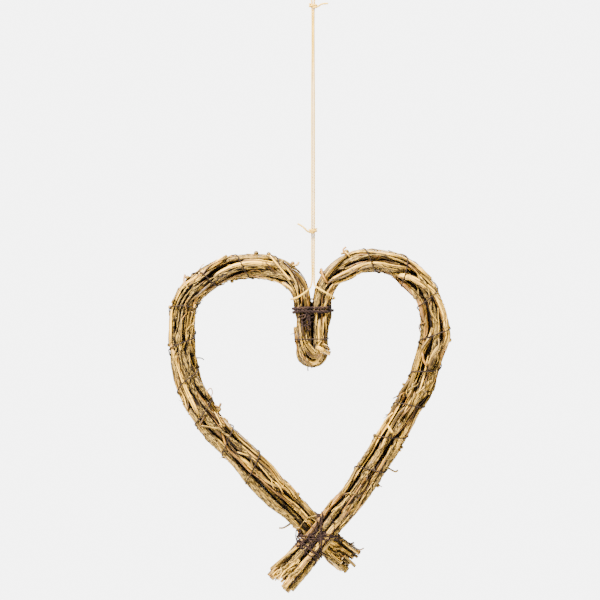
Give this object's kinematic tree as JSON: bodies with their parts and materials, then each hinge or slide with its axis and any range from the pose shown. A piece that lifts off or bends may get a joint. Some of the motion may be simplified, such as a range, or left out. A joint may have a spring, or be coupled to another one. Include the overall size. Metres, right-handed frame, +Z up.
{
  "type": "rattan heart wreath",
  "caption": "Hanging heart-shaped wreath of bundled rattan stems bound with wire, crossed at the foot, on a loop of jute twine.",
  "frame": {"origin": "top inside of the twine's eye, where a hook or nail holds it", "axes": "+Z up, -Y towards the viewer, +X to the viewer's right"},
  "size_m": [0.2848, 0.052, 0.6071],
  "materials": {
    "straw_stem": "dry smooth rattan, satin",
    "bark_stem": "dry rattan with rough bark, matt",
    "orange_stem": "dry rattan with thin brown skin, satin",
    "binding_wire": "dull brown coated wire",
    "tie_cord": "dark purple-brown rough cord",
    "twine": "cream jute, hairy and matt"
  },
  "bodies": {
    "root": {"rattan_stem_1": "straw_stem", "rattan_stem_2": "bark_stem", "rattan_stem_3": "straw_stem", "rattan_stem_4": "orange_stem", "rattan_stem_5": "bark_stem", "rattan_stem_6": "straw_stem", "rattan_stem_7": "bark_stem", "rattan_stem_8": "straw_stem", "rattan_stem_9": "orange_stem", "rattan_stem_10": "bark_stem", "left_binding_wire": "binding_wire", "right_binding_wire": "binding_wire", "cleft_tie": "tie_cord", "cleft_wire": "binding_wire", "crossing_lashing": "tie_cord", "hanging_twine": "twine", "twine_top_knot": "twine", "twine_lower_knot": "twine"}
  },
  "joints": []
}
